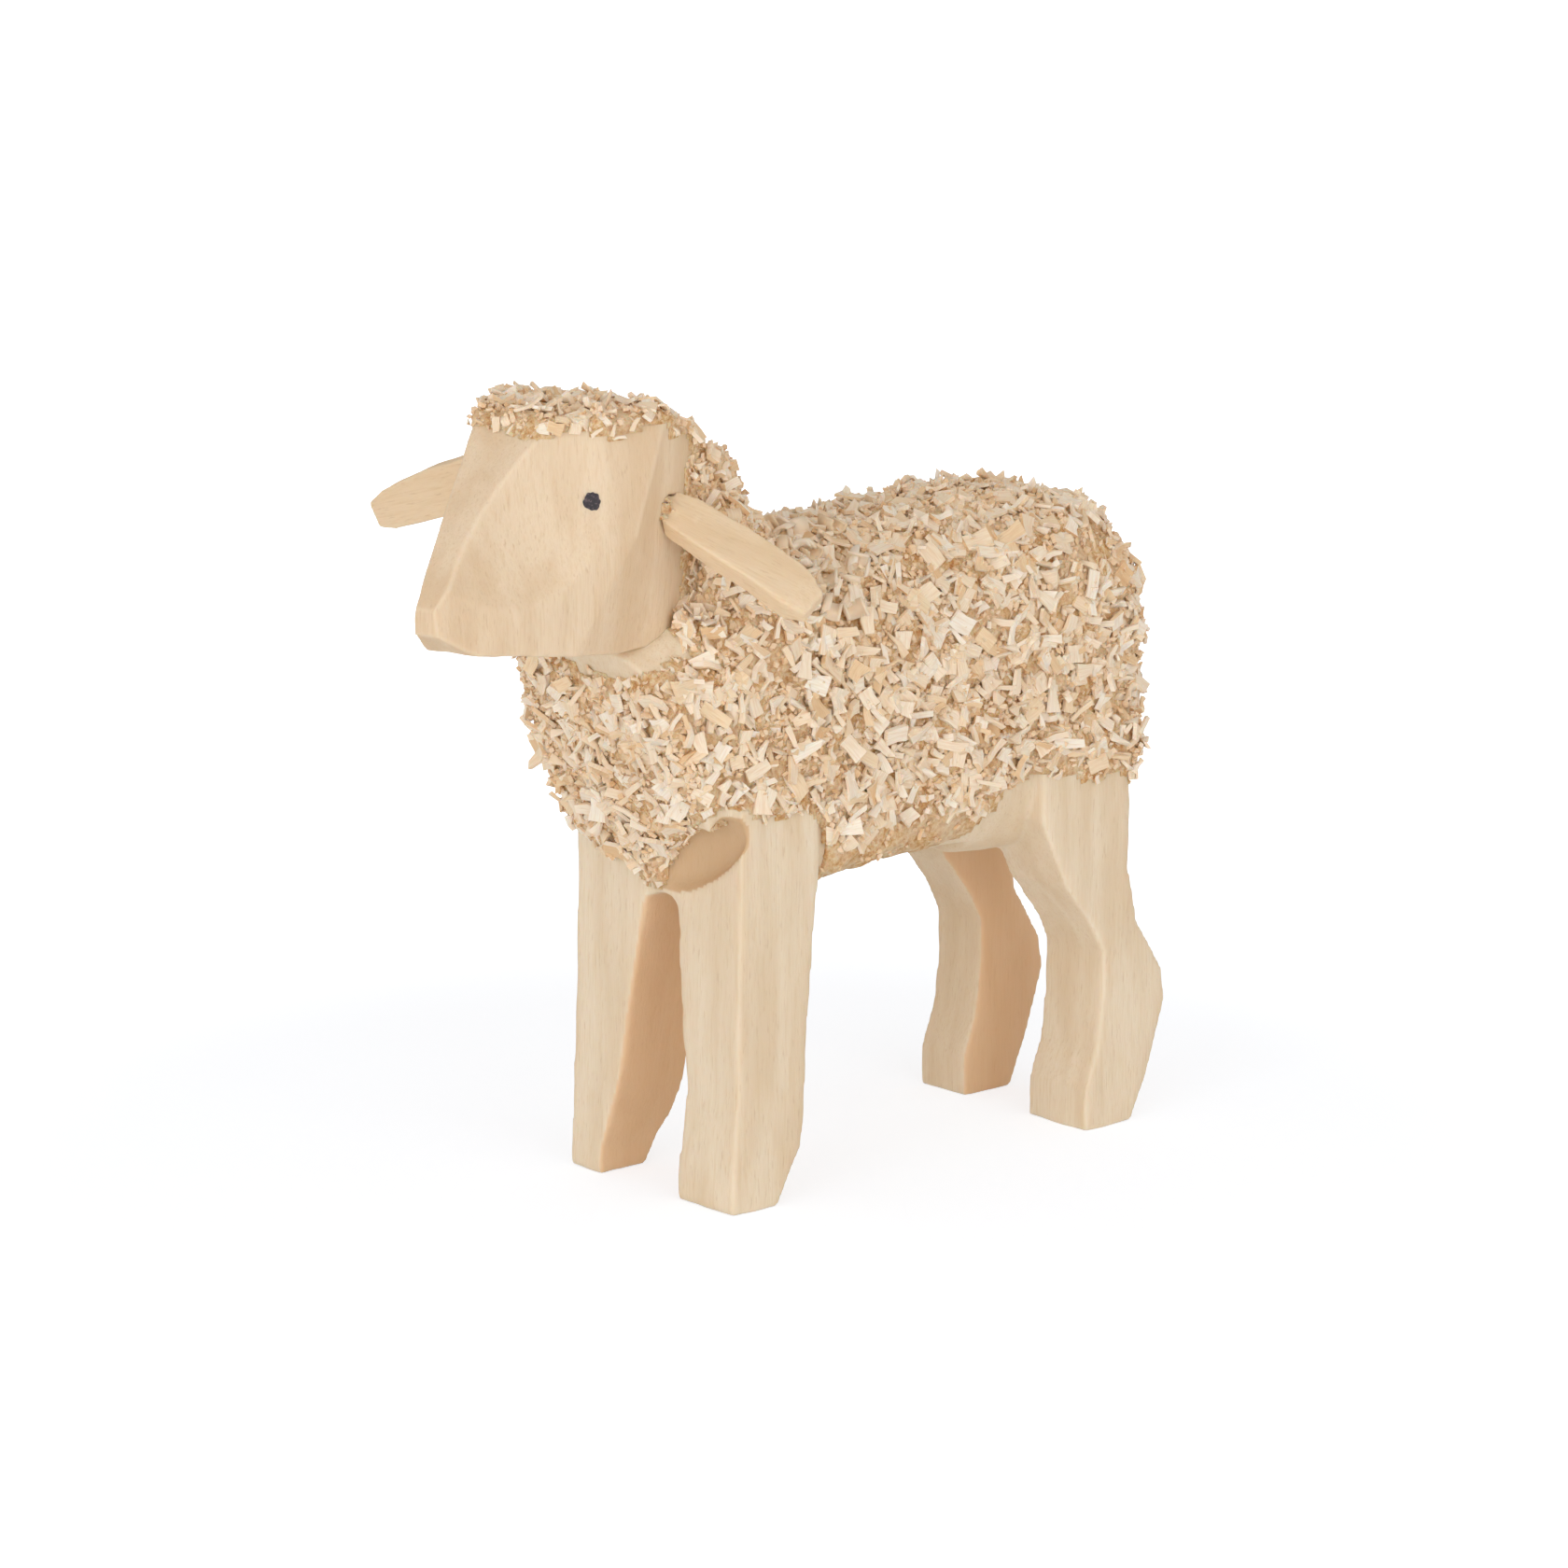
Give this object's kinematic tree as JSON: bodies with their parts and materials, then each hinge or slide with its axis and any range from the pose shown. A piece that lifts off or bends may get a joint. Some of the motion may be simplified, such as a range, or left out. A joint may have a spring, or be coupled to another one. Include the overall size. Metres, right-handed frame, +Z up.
{
  "type": "sheep figurine",
  "caption": "Small standing lamb whittled from pale wood, with a faceted face, glued-in ears and a fleece of sawdust and wood chips.",
  "frame": {"origin": "centre of the bounding box in plan, on the surface that the four feet stand on", "axes": "+X the way the body faces, +Y the lamb's left, +Z up"},
  "size_m": [0.0579, 0.0286, 0.0507],
  "materials": {
    "carved_wood": "bare whittled pale hardwood, fine straight grain, matt",
    "sawdust": "fine sawdust set in glue, rough and matt",
    "shavings": "dry whittling flakes and slivers, matt",
    "bark": "dark dry bark, rough",
    "eye_paint": "dark brush paint, nearly matt",
    "amber_glue": "dried amber glue, glossy and slightly clear"
  },
  "bodies": {
    "root": {"body": "carved_wood", "head": "carved_wood", "neck_dowel": "carved_wood", "ear_left": "carved_wood", "ear_right": "carved_wood", "tail": "carved_wood", "eye_left": "eye_paint", "eye_right": "eye_paint", "ear_glue_bead": "amber_glue", "body_sawdust_coat": "sawdust", "head_sawdust_coat": "sawdust", "bark_speck": "bark", "curled_shavings": "shavings", "crown_chips": "shavings", "nape_chips": "shavings", "chest_chips": "shavings", "back_chips": "shavings", "loin_chips": "shavings", "rump_chips": "shavings", "left_flank_chips": "shavings", "right_flank_chips": "shavings"}
  },
  "joints": []
}
